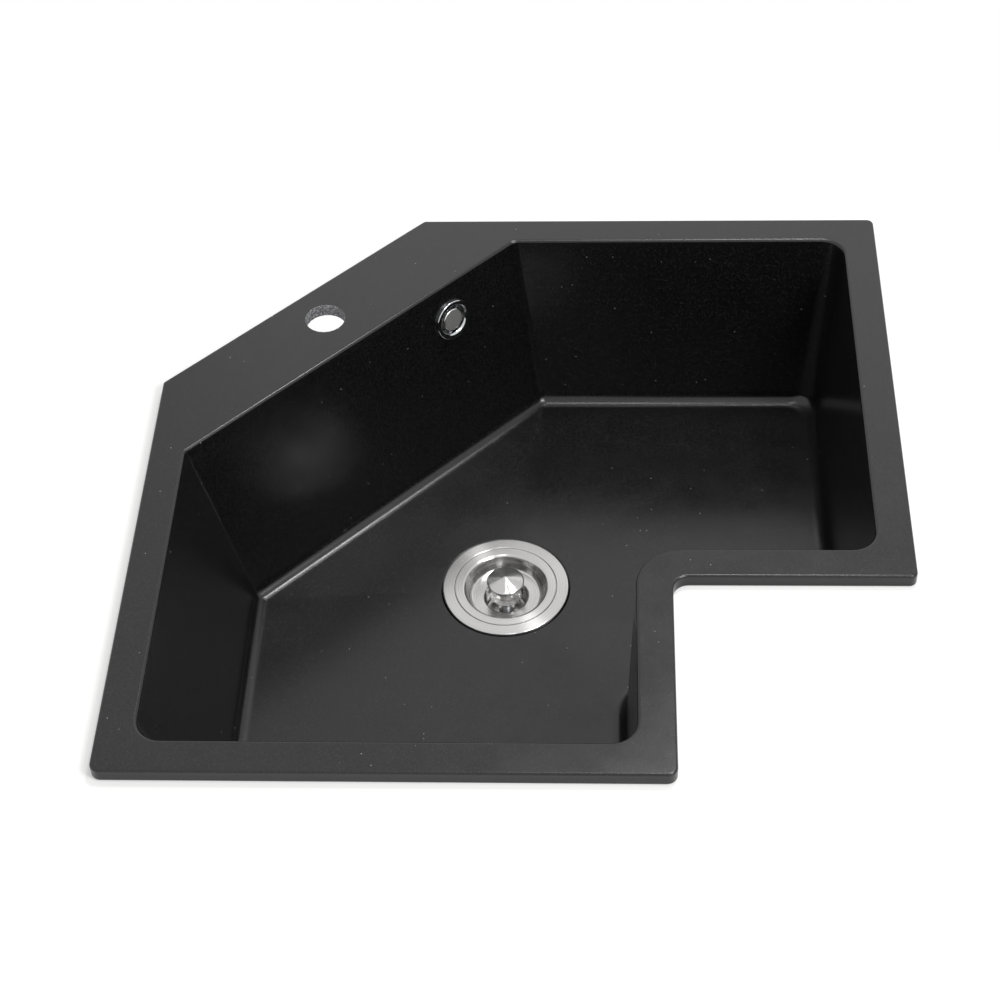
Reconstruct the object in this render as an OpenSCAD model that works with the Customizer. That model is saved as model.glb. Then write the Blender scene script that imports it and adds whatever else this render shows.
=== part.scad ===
// Corner kitchen sink in black quartz composite, with a basket waste and an overflow.
// The plan is a square whose back corner is cut off for the tap deck and whose front
// corner has a square notch, where the two runs of worktop meet.
// The origin is the tap hole's axis at the level of the worktop, which is the rim's underside.

/* [Plan] */
// Side of the square that the plan is cut from
side = 620; // [580:5:680]
// Length that the cut back corner takes off each of its two sides
corner_cut = 212; // [190:2:230]
// Side of the square notch in the front corner
notch = 190; // [150:2:210]
// Width of the flat rim
rim_w = 29; // [25:1:34]
// Width of the tap deck, from its edge to the bowl
deck_w = 79; // [74:1:90]

/* [Bowl] */
// Depth of the bowl, from the rim's top to the floor at the walls
depth = 185; // [160:5:210]
// Thickness of the rim
rim_t = 12; // [9:0.5:15]
// Thickness of the walls and the floor
wall = 9; // [7.5:0.5:10]
// Distance that the front and right walls lean in from rim to floor
lean = 14; // [8:1:28]
// Distance that the two notch walls lean in from rim to floor
notch_lean = 6; // [4:1:20]
// Distance that the back wall leans in
back_lean = 17; // [8:1:28]
// Distance that the left wall leans in
left_lean = 40; // [14:1:44]
// Distance that the wall below the tap deck leans in
deck_lean = 28; // [14:1:36]
// Fall of the floor from the walls to the waste
fall = 3; // [1:0.5:5]

/* [Tap hole] */
// Diameter of the tap hole
tap_d = 35; // [32:0.5:38]
// Distance from the deck's outer edge to the tap hole's axis
tap_set = 37; // [34:0.5:42]

/* [Waste] */
// Place of the waste, as a share of the way from the tap hole to the notch's corner
waste_share = 0.512; // [0.49:0.002:0.53]
// Distance of the waste from the plan's diagonal, along the deck
waste_side = 6.7; // [0:0.1:10]
// Diameter of the waste's flange
flange_d = 112; // [104:0.5:116]
// Width of the flange that shows round the basket
flange_w = 11; // [9:0.5:13]
// Width of the basket's own flange
basket_w = 10; // [8:0.5:12]
// Depth of the dish
dish_deep = 13; // [10:0.5:16]
// Diameter of the perforated sump in the dish
sump_d = 38; // [34:0.5:42]
// Depth of the sump below the dish
sump_deep = 21; // [18:0.5:22]
// Number of slots round the sump
slot_count = 12; // [8:1:16]
// Diameter of the knob
knob_d = 33; // [28:0.5:36]
// Distance that the knob and its plug lift
plug_lift = 8; // [5:0.5:9]
// Outer diameter of the thread that takes the trap
outlet_d = 47.8; // [47:0.1:48]
// Length of the thread that takes the trap
outlet_len = 18; // [14:1:22]

/* [Overflow] */
// Depth of the overflow's centre below the rim's top
over_drop = 38; // [36:1:60]
// Distance of the overflow from the middle of the deck, along the deck
over_side = 105; // [60:1:115]
// Diameter of the overflow's trim ring
over_ring_d = 38; // [36:0.5:44]
// Diameter of the disc in the ring
over_cap_d = 21.6; // [18:0.2:22]
// Diameter over the hose's ribs
hose_d = 26; // [24:0.5:28]
// Bore of the hose
hose_bore = 20; // [18:0.5:21]
// Distance from one rib of the hose to the next
rib_pitch = 4.2; // [3.6:0.1:5]
// Radius of the hose's bend
hose_bend = 85; // [70:1:90]

/* [Hidden] */
$fn = 96;
// Overrun of every cut past the face that it breaks through
over = 1;
// Radial gap of a pair that slides or turns
run_gap = 0.05;
// Radial gap of a thread, whose turns are left out
thread_gap = 0.1;
// Gap under a piece that rests on another body
rest_gap = 0.2;

// Fillets of the bowl
rim_r = 8;
back_r = 6;
cut_r = 4;
rim_notch_r = 13;
bowl_r = 20;
bowl_notch_r = 38;
deck_end_r = 9;
deck_front_r = 5;
lip_r = 2.5;
edge_r = 2;
under_r = 1.5;
floor_r = 12;
// Steps round each plan corner, and in each fillet
corner_steps = 10;
fillet_steps = 5;
lip_steps = 3;
edge_steps = 2;

// Plan: edges anticlockwise from the front, each with the unit normal that points outwards
diag = 1 / sqrt(2);
deck_turn = -45;
normals = [[0, -1], [1, 0], [0, -1], [1, 0], [0, 1], [-diag, diag], [-1, 0]];
edges = len(normals);
reaches = [0, side - notch, -notch, side, side, (side - corner_cut) * diag, 0];
margins = [rim_w, rim_w, rim_w, rim_w, rim_w, deck_w, rim_w];
leans = [lean, notch_lean, notch_lean, lean, back_lean, deck_lean, left_lean];
rim_radii = [rim_r, rim_notch_r, back_r, back_r, cut_r, cut_r, rim_r];
bowl_radii = [bowl_r, bowl_notch_r, bowl_r, bowl_r, deck_end_r, deck_front_r, bowl_r];
tap_x = corner_cut / 2 + tap_set * diag;
tap_y = side - corner_cut / 2 - tap_set * diag;

// Levels, from the worktop at zero
floor_z = rim_t - depth;
waste_z = floor_z - fall;
waste_run = waste_share * (tap_y - notch) / diag;
waste_x = (waste_side + waste_run) * diag;
waste_y = (waste_side - waste_run) * diag;

// Waste: the seat in the floor and the clamping pieces
recess_gap = 1;
recess_deep = 3;
flat_w = 6;
gasket_t = 2;
gasket_in = 1;
flange_seat_w = 10;
waste_hole_d = flange_d - 2 * flange_seat_w;
flange_edge = 1;
flange_h = 2.4;
flange_round = 4;
cup_wall = 1.5;
seat_w = 4;
seat_gap = 0.4;
plug_room = 6.7;
cone_deep = 12;
port_d = 39;
plug_seat_w = 7;
spout_d = 47;
spout_len = 22;
washer_w = 11;
under_gasket_t = 3;
slip_t = 1;
nut_h = 12;
nut_w = 9;
lug_count = 8;
lug_w = 9;
lug_out = 4;

// Waste tee and its coupling
pipe_d = 42;
pipe_wall = 2.5;
collar_t = 3;
couple_t = 3;
couple_wall = 5;
couple_grip = 14;
couple_lip = 4;
couple_ribs = 10;
couple_rib_d = 4;
branch_drop = 35;
branch_run = 50;
tee_len = 74;
shoulder_t = 3;
shoulder_w = 3;

// Basket and plug
basket_sheet = 1;
basket_round = 3.5;
dish_taper = 2.5;
dish_round = 3;
sump_lip_r = 2;
sump_round = 2;
hub_d = 14;
hub_h = 6;
stem_d = 8;
stem_neck_d = 6;
slot_w = 2.4;
slot_h = 12;
hole_d = 4.2;
hole_count = 10;
hole_share = 0.72;
groove_h = 1.4;
groove_w = 1.3;
knob_rise = 7;
knob_dome = 5;
knob_edge = 1.4;
knob_neck_d = 21;
knob_foot_d = 28;
knob_deep = 19.4;
knob_socket = 9;
seal_d = 46;
seal_t = 4;
plug_washer_d = 30;
plug_washer_t = 1.5;
plug_nut_d = 13;
plug_nut_h = 5;
stem_end = 3;

// Overflow fitting, along the wall's own normal
over_hole_d = 30;
ring_h = 2.6;
ring_bore = 27.2;
ring_wall = 1;
ring_round = 1.2;
ring_slope_w = 2.7;
ring_slope_h = 2.4;
ring_deep = 7;
spider_w = 2.5;
spider_t = 2.5;
spider_count = 3;
boss_d = 11;
boss_h = 6;
screw_d = 5;
screw_head_d = 8;
screw_head_h = 2.2;
screw_len = 15;
screw_sink = 4.6;
cap_h = 2.6;
cap_bevel = 1;
cap_lift = 0.4;
cap_stub_d = 7.6;
wall_gasket_t = 3;
wall_gasket_w = 7;
elbow_flange_d = 46;
elbow_flange_t = 3;
can_d = 37;
can_wall = 2.5;
can_deep = 31;
bar_t = 4;
bar_w = 5;
bar_hub_d = 11;
drop_at = 28;
drop_len = 44;

// Hose and its unions
spigot_d = 28;
spigot_len = 12;
spigot_bore = 20;
branch_bore = 20;
hose_washer_t = 2;
rib_deep = 1.4;
hose_sides = 16;
bend_steps = 12;
union_wall = 4;
union_grip = 10;
union_hold = 10;
union_ribs = 8;
union_rib_d = 3;
hose_gap = 0.3;

// Crossing point of two edges, each given as a normal and its distance
function meet(m, j, n, k) =
    let (turn = m[0] * n[1] - m[1] * n[0])
    [(j * n[1] - k * m[1]) / turn, (m[0] * k - n[0] * j) / turn];

// Plan outline at height z, with each edge set in and each corner rounded
function outline(insets, radii, z) = [
    for (i = [0:edges - 1])
        let (
            m = normals[i],
            n = normals[(i + 1) % edges],
            turn = sign(m[0] * n[1] - m[1] * n[0]),
            from = atan2(m[1], m[0]),
            sweep = turn * acos(m[0] * n[0] + m[1] * n[1]),
            r = turn * radii[i],
            mid = meet(m, reaches[i] - insets[i] - r,
                n, reaches[(i + 1) % edges] - insets[(i + 1) % edges] - r)
        )
        for (s = [0:corner_steps])
            let (a = from + sweep * s / corner_steps)
            [mid[0] + r * cos(a) - tap_x, mid[1] + r * sin(a) - tap_y, z]
];

// Radii of corners whose edges move out by grow
function grown(radii, grow) = [
    for (i = [0:edges - 1])
        let (m = normals[i], n = normals[(i + 1) % edges])
        radii[i] + sign(m[0] * n[1] - m[1] * n[0]) * grow
];

// Inset of a wall's face at depth v, for a skin that lies outside the inner face
function wall_inset(run, v, skin) =
    let (
        tilt = atan(run / depth),
        mid_u = run + floor_r * tan(45 - tilt / 2),
        mid_v = depth - floor_r,
        r = floor_r + skin
    )
    v <= mid_v + r * sin(tilt)
        ? run * v / depth - skin / cos(tilt)
        : mid_u - sqrt(max(0, r * r - (v - mid_v) * (v - mid_v)));

function wall_insets(v, skin) = [for (i = [0:edges - 1]) margins[i] + wall_inset(leans[i], v, skin)];

// Circle round the waste, with one point in line with each point of an outline
function waste_ring(points, r, z) = [
    for (p = points)
        let (dx = p[0] - waste_x, dy = p[1] - waste_y, far = sqrt(dx * dx + dy * dy))
        [waste_x + r * dx / far, waste_y + r * dy / far, z]
];

// Rings of the bowl's skin, from the floor up, over the rim and down to the underside
function inner_rings() = [
    for (s = [0:fillet_steps])
        let (v = depth - floor_r + floor_r * cos(90 * s / fillet_steps))
        outline(wall_insets(v, 0), bowl_radii, rim_t - v)
];
function lip_rings() = [
    for (s = [0:lip_steps])
        let (
            a = 90 - 90 * s / lip_steps,
            v = lip_r * (1 - cos(a)),
            back = lip_r * (1 - sin(a))
        )
        outline([for (u = wall_insets(v, 0)) u - back], grown(bowl_radii, back), rim_t - v)
];
function rim_rings() = [
    for (s = [0:edge_steps + 1])
        let (a = 90 * s / (edge_steps + 1), u = edge_r * (1 - sin(a)))
        outline([for (i = margins) u], grown(rim_radii, -u), rim_t - edge_r * (1 - cos(a))),
    for (s = [0:edge_steps])
        let (a = 90 * s / edge_steps, u = under_r * (1 - cos(a)))
        outline([for (i = margins) u], grown(rim_radii, -u), under_r * (1 - sin(a)))
];
function outer_rings() = [
    outline(wall_insets(rim_t, wall), grown(bowl_radii, wall), 0),
    for (s = [fillet_steps:-1:0])
        let (v = depth - floor_r + (floor_r + wall) * cos(90 * s / fillet_steps))
        outline(wall_insets(v, wall), grown(bowl_radii, wall), rim_t - v)
];

// Closed solid through a stack of rings, capped at both ends
module skin(rings) {
    count = len(rings[0]);
    last = len(rings) - 1;
    sides = [
        for (k = [0:last - 1], i = [0:count - 1])
            let (a = k * count + i, b = k * count + (i + 1) % count)
            each [[a, b, b + count], [a, b + count, a + count]]
    ];
    polyhedron(
        points = [for (r = rings) each r],
        faces = concat(
            [[for (i = [count - 1:-1:0]) i]],
            sides,
            [[for (i = [0:count - 1]) last * count + i]]
        )
    );
}

module at_waste() {
    translate([waste_x, waste_y, waste_z]) children();
}

// Place on the wall below the deck: z runs out of the wall into the bowl, x runs down it
over_tilt = atan(deck_lean / depth);
over_run = deck_w - tap_set + deck_lean * over_drop / depth;
module at_overflow() {
    rotate([0, 0, deck_turn])
        translate([over_run, over_side, rim_t - over_drop])
            rotate([0, 90 - over_tilt, 0])
                children();
}

// Ring about z, from level low to level high
module ring(d_out, d_in, low, high) {
    translate([0, 0, low])
        difference() {
            cylinder(d = d_out, h = high - low);
            translate([0, 0, -over]) cylinder(d = d_in, h = high - low + 2 * over);
        }
}

// Barrel of a hand-tightened nut, with round grip ribs
module ribbed_barrel(d, ribs, rib_d, tall) {
    linear_extrude(tall) {
        circle(d = d);
        for (i = [0:ribs - 1])
            rotate([0, 0, 360 * (i + 1 / 2) / ribs]) translate([d / 2, 0]) circle(d = rib_d, $fn = 32);
    }
}

// Points of a round corner in a profile, from angle a to angle b
function bend(x, y, r, a, b, steps) = [
    for (s = [0:steps])
        [x + r * cos(a + (b - a) * s / steps), y + r * sin(a + (b - a) * s / steps)]
];

waste_flat_r = flange_d / 2 + recess_gap + flat_w;
module sink_bowl() {
    inner = inner_rings();
    outer = outer_rings();
    color([0.13, 0.13, 0.14])
        difference() {
            skin(concat(
                [waste_ring(inner[0], waste_flat_r, waste_z)],
                inner, lip_rings(), rim_rings(), outer,
                [waste_ring(outer[len(outer) - 1], waste_flat_r, waste_z - wall)]
            ));
            translate([0, 0, -over]) cylinder(d = tap_d, h = rim_t + 2 * over);
            at_waste() {
                translate([0, 0, -wall - over]) cylinder(d = waste_hole_d, h = wall + 2 * over);
                translate([0, 0, -recess_deep])
                    cylinder(d = flange_d + 2 * recess_gap, h = recess_deep + over);
            }
            at_overflow() translate([0, 0, -wall - 2 * over]) cylinder(d = over_hole_d, h = wall + 4 * over);
        }
}

// Waste cup and basket, in levels from the floor round the waste.
// The cup is deep enough for the plug to lift below the basket's sump.
flange_z = gasket_t - recess_deep;
flange_top = flange_z + flange_h;
basket_d = flange_d - 2 * flange_w;
basket_seat_d = basket_d + 2 * seat_gap;
basket_z = flange_top - basket_sheet;
basket_seat_z = basket_z - rest_gap;
dish_d = basket_d - 2 * basket_w;
dish_z = flange_top - dish_deep;
sump_z = dish_z - sump_deep;
seal_z = sump_z - basket_sheet - plug_lift - plug_room - plug_washer_t - seal_t;
plug_seat_z = seal_z - rest_gap;
cup_deep = -plug_seat_z - cone_deep;
cup_d = basket_seat_d - 2 * seat_w;
cup_out_d = cup_d + 2 * cup_wall;
spout_z = plug_seat_z - spout_len;

module flange_gasket() {
    color([0.1, 0.1, 0.1])
        at_waste() ring(flange_d - 2 * gasket_in, waste_hole_d + gasket_in, -recess_deep, flange_z);
}

module strainer_body() {
    color([0.78, 0.78, 0.78])
        at_waste() rotate_extrude() polygon(concat(
            [
                [cup_out_d / 2, flange_z],
                [flange_d / 2, flange_z],
                [flange_d / 2, flange_z + flange_edge],
                [flange_d / 2 - flange_round / 2, flange_top - flange_edge / 2],
                [flange_d / 2 - flange_round, flange_top],
                [basket_seat_d / 2, flange_top],
                [basket_seat_d / 2, basket_seat_z],
                [cup_d / 2, basket_seat_z],
                [cup_d / 2, -cup_deep],
                [port_d / 2 + plug_seat_w, plug_seat_z],
                [port_d / 2, plug_seat_z],
                [port_d / 2, spout_z],
                [spout_d / 2, spout_z],
                [spout_d / 2, plug_seat_z - cup_wall],
                [port_d / 2 + plug_seat_w + cup_wall, plug_seat_z - cup_wall],
                [cup_out_d / 2, -cup_deep - cup_wall]
            ]
        ));
}

clamp_z = -wall - under_gasket_t;
module underside_gasket() {
    color([0.12, 0.12, 0.12])
        at_waste() ring(cup_out_d + 2 * washer_w, cup_out_d + gasket_in, clamp_z, -wall);
}

module friction_washer() {
    color([0.72, 0.66, 0.55])
        at_waste() ring(cup_out_d + 2 * washer_w, cup_out_d + gasket_in, clamp_z - slip_t, clamp_z);
}

module lock_nut() {
    nut_top = clamp_z - slip_t;
    nut_d = cup_out_d + 2 * nut_w;
    color([0.88, 0.88, 0.86])
        at_waste() difference() {
            translate([0, 0, nut_top - nut_h]) linear_extrude(nut_h) {
                circle(d = nut_d);
                for (i = [0:lug_count - 1])
                    rotate([0, 0, 360 * (i + 1 / 2) / lug_count])
                        translate([nut_d / 2 - nut_w / 2, -lug_w / 2])
                            square([nut_w / 2 + lug_out, lug_w]);
            }
            translate([0, 0, nut_top - nut_h - over])
                cylinder(d = cup_out_d + 2 * thread_gap, h = nut_h + 2 * over);
        }
}

// Coupling below the spout, and the tee that hangs in it
tee_top = spout_z - couple_t;
tee_foot = tee_top - tee_len;
module coupling_washer() {
    color([0.12, 0.12, 0.12])
        at_waste() ring(spout_d - gasket_in, port_d, tee_top, spout_z);
}

module coupling_nut() {
    nut_foot = tee_top - collar_t - couple_lip;
    tall = spout_z + couple_grip - nut_foot;
    color([0.9, 0.9, 0.88])
        at_waste() difference() {
            translate([0, 0, nut_foot])
                ribbed_barrel(spout_d + 2 * couple_wall, couple_ribs, couple_rib_d, tall);
            translate([0, 0, nut_foot - over])
                cylinder(d = pipe_d + 2 * thread_gap, h = tall + 2 * over);
            translate([0, 0, nut_foot + couple_lip])
                cylinder(d = spout_d + 2 * thread_gap, h = tall);
        }
}

// The tee's branch points along the floor to a point below the overflow
drop_x = (over_run - drop_at * cos(over_tilt)) * diag + over_side * diag;
drop_y = -(over_run - drop_at * cos(over_tilt)) * diag + over_side * diag;
hose_reach = norm([drop_x - waste_x, drop_y - waste_y]);
hose_way = [(drop_x - waste_x) / hose_reach, (drop_y - waste_y) / hose_reach];
hose_turn = atan2(hose_way[1], hose_way[0]);
branch_z = tee_top - branch_drop;

module along_branch() {
    at_waste() translate([0, 0, branch_z]) rotate([0, 0, hose_turn]) rotate([0, 90, 0]) children();
}

module waste_tee() {
    color([0.92, 0.92, 0.9])
        difference() {
            union() {
                at_waste() {
                    translate([0, 0, tee_foot]) cylinder(d = pipe_d, h = tee_len);
                    translate([0, 0, tee_top - collar_t])
                        cylinder(d = spout_d - 2 * thread_gap, h = collar_t);
                    translate([0, 0, tee_foot])
                        cylinder(d = outlet_d + 2 * shoulder_w, h = shoulder_t);
                    translate([0, 0, tee_foot - outlet_len]) cylinder(d = outlet_d, h = outlet_len);
                }
                along_branch() {
                    cylinder(d = branch_bore + 2 * pipe_wall, h = branch_run);
                    translate([0, 0, branch_run - spigot_len]) cylinder(d = spigot_d, h = spigot_len);
                }
            }
            at_waste()
                translate([0, 0, tee_foot - outlet_len - over])
                    cylinder(d = pipe_d - 2 * pipe_wall, h = tee_len + outlet_len + 2 * over);
            along_branch() cylinder(d = branch_bore, h = branch_run + over);
        }
}

// Centres of the sheet's bends: at the dish's foot, at the sump's lip and at its floor
dish_turn_x = dish_d / 2 - dish_taper - dish_round;
dish_turn_z = dish_z + dish_round;
lip_turn_x = sump_d / 2 + sump_lip_r;
lip_turn_z = dish_z - sump_lip_r;
sump_turn_x = sump_d / 2 - sump_round;
sump_turn_z = sump_z + sump_round;
module strainer_basket() {
    top = flange_top;
    color([0.8, 0.8, 0.8])
        at_waste() difference() {
            union() {
                rotate_extrude() polygon(concat(
                    [[basket_d / 2, basket_z], [basket_d / 2, top]],
                    bend(dish_d / 2 + basket_round, top - basket_round, basket_round, 90, 180, 4),
                    bend(dish_turn_x, dish_turn_z, dish_round, 0, -90, 4),
                    bend(lip_turn_x, lip_turn_z, sump_lip_r, 90, 180, 3),
                    bend(sump_turn_x, sump_turn_z, sump_round, 0, -90, 3),
                    [[0, sump_z], [0, sump_z - basket_sheet]],
                    bend(sump_turn_x, sump_turn_z, sump_round + basket_sheet, -90, 0, 3),
                    bend(lip_turn_x, lip_turn_z, sump_lip_r - basket_sheet, 180, 90, 3),
                    bend(dish_turn_x, dish_turn_z, dish_round + basket_sheet, -90, 0, 4),
                    bend(dish_d / 2 + basket_round, top - basket_round,
                        basket_round - basket_sheet, 180, 90, 4)
                ));
                translate([0, 0, sump_z]) cylinder(d = hub_d, h = hub_h);
            }
            translate([0, 0, sump_z - basket_sheet - over])
                cylinder(d = stem_d + 2 * run_gap, h = hub_h + basket_sheet + 2 * over);
            translate([0, 0, sump_z + hub_h / 2 - groove_h / 2])
                cylinder(d = stem_d + 2 * groove_w + 2 * run_gap, h = groove_h);
            for (i = [0:slot_count - 1])
                rotate([0, 0, 360 * (i + 1 / 2) / slot_count])
                    translate([sump_d / 2 - over, -slot_w / 2, sump_z + (sump_deep - slot_h) / 2])
                        cube([basket_sheet + 2 * over, slot_w, slot_h]);
            for (i = [0:hole_count - 1])
                rotate([0, 0, 360 * i / hole_count])
                    translate([hole_share * sump_d / 2, 0, sump_z - basket_sheet - over])
                        cylinder(d = hole_d, h = basket_sheet + 2 * over, $fn = 32);
        }
}

module detent_ring() {
    middle = sump_z + hub_h / 2;
    color([0.75, 0.75, 0.77])
        at_waste() ring(stem_d + 2 * groove_w, stem_d + 2 * run_gap,
            middle - groove_h / 2 + run_gap, middle + groove_h / 2 - run_gap);
}

// Knob and plug, which slide together in the basket's hub. The knob has a waist between its
// foot and its head.
knob_z = flange_top + knob_rise;
knob_waist = knob_deep - 2 * knob_edge;
waist_in = (knob_foot_d - knob_neck_d) / 2;
waist_r = (knob_waist * knob_waist / 4 + waist_in * waist_in) / (2 * waist_in);
waist_turn = asin(knob_waist / 2 / waist_r);
plug_top = seal_z + seal_t + plug_washer_t;
module plug_knob() {
    color([0.82, 0.82, 0.82])
        at_waste() difference() {
            rotate_extrude() polygon(concat(
                [
                    [0, knob_z - knob_deep],
                    [knob_foot_d / 2, knob_z - knob_deep]
                ],
                bend(knob_neck_d / 2 + waist_r, knob_z - knob_edge - knob_waist / 2, waist_r,
                    180 + waist_turn, 180 - waist_turn, 8),
                [
                    [knob_d / 2, knob_z - knob_edge],
                    [knob_d / 2, knob_z],
                    [knob_d / 2 - knob_edge, knob_z + knob_edge / 2],
                    [knob_d / 4, knob_z + knob_dome * 2 / 3],
                    [0, knob_z + knob_dome]
                ]
            ));
            translate([0, 0, knob_z - knob_deep - over])
                cylinder(d = stem_d + 2 * run_gap, h = knob_socket + over);
        }
}

module plug_stem() {
    top = knob_z - knob_deep + knob_socket - run_gap;
    foot = seal_z - plug_nut_h - stem_end;
    color([0.75, 0.75, 0.77])
        at_waste() {
            translate([0, 0, plug_top]) cylinder(d = stem_d, h = top - plug_top);
            translate([0, 0, foot]) cylinder(d = stem_neck_d, h = plug_top - foot);
        }
}

module plug_washer() {
    color([0.78, 0.78, 0.78])
        at_waste() ring(plug_washer_d, stem_neck_d + 2 * thread_gap, seal_z + seal_t, plug_top);
}

module plug_seal() {
    color([0.1, 0.1, 0.1])
        at_waste() ring(seal_d, stem_neck_d + 2 * thread_gap, seal_z, seal_z + seal_t);
}

module plug_nut() {
    color([0.8, 0.75, 0.55])
        at_waste() difference() {
            translate([0, 0, seal_z - plug_nut_h]) cylinder(d = plug_nut_d, h = plug_nut_h, $fn = 6);
            translate([0, 0, seal_z - plug_nut_h - over])
                cylinder(d = stem_neck_d + 2 * thread_gap, h = plug_nut_h + 2 * over);
        }
}

// Overflow: ring, cap and screw in the bowl, elbow behind the wall
boss_top = -ring_deep + boss_h;
module overflow_ring() {
    color([0.7, 0.7, 0.72])
        at_overflow() difference() {
            union() {
                rotate_extrude() polygon(concat(
                    [
                        [ring_bore / 2 + ring_wall, -ring_deep],
                        [ring_bore / 2 + ring_wall, 0],
                        [over_ring_d / 2, 0]
                    ],
                    bend(over_ring_d / 2 - ring_round, ring_h - ring_round, ring_round, 0, 90, 3),
                    [
                        [ring_bore / 2 + ring_slope_w, ring_h],
                        [ring_bore / 2, ring_h - ring_slope_h],
                        [ring_bore / 2, -ring_deep]
                    ]
                ));
                for (i = [0:spider_count - 1])
                    rotate([0, 0, 360 * i / spider_count])
                        translate([0, -spider_w / 2, -ring_deep])
                            cube([ring_bore / 2 + ring_wall / 2, spider_w, spider_t]);
                translate([0, 0, -ring_deep]) cylinder(d = boss_d, h = boss_h);
            }
            translate([0, 0, -ring_deep - over])
                cylinder(d = screw_d + 2 * thread_gap, h = boss_h + 2 * over);
            translate([0, 0, -screw_sink])
                cylinder(d = screw_head_d + 2 * thread_gap, h = screw_sink + over);
        }
}

module overflow_cap() {
    head_top = -screw_sink + screw_head_h;
    color([0.6, 0.6, 0.61])
        at_overflow() {
            rotate_extrude() polygon([
                [0, boss_top],
                [over_cap_d / 2 - cap_bevel / 2, boss_top],
                [over_cap_d / 2, boss_top + cap_bevel / 2],
                [over_cap_d / 2, boss_top + cap_h - cap_bevel],
                [over_cap_d / 2 - cap_bevel, boss_top + cap_h],
                [0, boss_top + cap_h]
            ]);
            translate([0, 0, head_top + cap_lift])
                cylinder(d = cap_stub_d, h = boss_top - head_top - cap_lift);
        }
}

module overflow_screw() {
    color([0.75, 0.75, 0.77])
        at_overflow() {
            translate([0, 0, -screw_sink]) cylinder(d = screw_head_d, h = screw_head_h);
            translate([0, 0, -screw_sink - screw_len]) cylinder(d = screw_d, h = screw_len);
        }
}

gasket_z = -wall - wall_gasket_t;
module overflow_gasket() {
    color([0.12, 0.12, 0.12])
        at_overflow() ring(over_hole_d + 2 * wall_gasket_w, over_hole_d, gasket_z, -wall);
}

// The elbow's drop is plumb, though its can follows the wall
module along_drop() {
    rotate([0, 0, deck_turn])
        translate([over_run - drop_at * cos(over_tilt), over_side,
            rim_t - over_drop - drop_at * sin(over_tilt)])
            children();
}

module overflow_elbow() {
    can_z = gasket_z - can_deep;
    color([0.92, 0.92, 0.9])
        difference() {
            union() {
                at_overflow() {
                    translate([0, 0, gasket_z - elbow_flange_t])
                        cylinder(d = elbow_flange_d, h = elbow_flange_t);
                    translate([0, 0, can_z]) cylinder(d = can_d, h = can_deep);
                }
                along_drop() {
                    translate([0, 0, -drop_len])
                        cylinder(d = spigot_bore + 2 * pipe_wall, h = drop_len);
                    translate([0, 0, -drop_len]) cylinder(d = spigot_d, h = spigot_len);
                }
            }
            at_overflow() difference() {
                translate([0, 0, can_z + can_wall])
                    cylinder(d = can_d - 2 * can_wall, h = can_deep - can_wall + over);
                translate([0, 0, gasket_z - bar_t]) cylinder(d = bar_hub_d, h = bar_t);
                translate([-can_d / 2, -bar_w / 2, gasket_z - bar_t]) cube([can_d, bar_w, bar_t]);
            }
            at_overflow() translate([0, 0, gasket_z - bar_t - over])
                cylinder(d = screw_d + 2 * thread_gap, h = bar_t + 2 * over);
            along_drop() translate([0, 0, -drop_len - over])
                cylinder(d = spigot_bore, h = drop_len + over);
        }
}

// Hose: plumb from the elbow, one bend, then level to the tee
hose_top = rim_t - over_drop - drop_at * sin(over_tilt) - drop_len - hose_washer_t;
hose_low = waste_z + branch_z;
hose_down = hose_top - hose_low - hose_bend;
hose_level = hose_reach - hose_bend - branch_run - hose_washer_t;
hose_arc = hose_bend * PI / 2;
hose_len = hose_down + hose_arc + hose_level;
rib_count = floor(hose_len / rib_pitch);

// Place and slope of the hose's axis at length s from the elbow
function hose_slope(s) = min(90, max(0, 90 * (s - hose_down) / hose_arc));
function hose_axis(s) =
    let (
        a = hose_slope(s),
        in = hose_bend * (1 - cos(a)) + max(0, s - hose_down - hose_arc),
        down = min(s, hose_down) + hose_bend * sin(a)
    )
    [drop_x - hose_way[0] * in, drop_y - hose_way[1] * in, hose_top - down];
function hose_ring(s, r) =
    let (c = hose_axis(s), a = hose_slope(s))
    [
        for (i = [0:hose_sides - 1])
            let (
                t = 360 * i / hose_sides,
                across = r * cos(t),
                up = r * sin(t)
            )
            [
                c[0] - hose_way[1] * across + hose_way[0] * cos(a) * up,
                c[1] + hose_way[0] * across + hose_way[1] * cos(a) * up,
                c[2] - sin(a) * up
            ]
    ];

module overflow_hose() {
    crest = hose_d / 2;
    outside = [
        for (k = [0:2 * rib_count])
            hose_ring(hose_len * k / (2 * rib_count), k % 2 == 0 ? crest : crest - rib_deep)
    ];
    stations = concat([0], [for (k = [0:bend_steps]) hose_down + hose_arc * k / bend_steps], [hose_len]);
    inside = [for (i = [len(stations) - 1:-1:0]) hose_ring(stations[i], hose_bore / 2)];
    rings = concat(outside, inside);
    count = len(rings);
    color([0.85, 0.85, 0.84])
        polyhedron(
            points = [for (r = rings) each r],
            faces = [
                for (k = [0:count - 1], i = [0:hose_sides - 1])
                    let (
                        a = k * hose_sides + i,
                        b = k * hose_sides + (i + 1) % hose_sides,
                        c = ((k + 1) % count) * hose_sides + i,
                        d = ((k + 1) % count) * hose_sides + (i + 1) % hose_sides
                    )
                    each [[a, b, d], [a, d, c]]
            ]
        );
}

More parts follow.
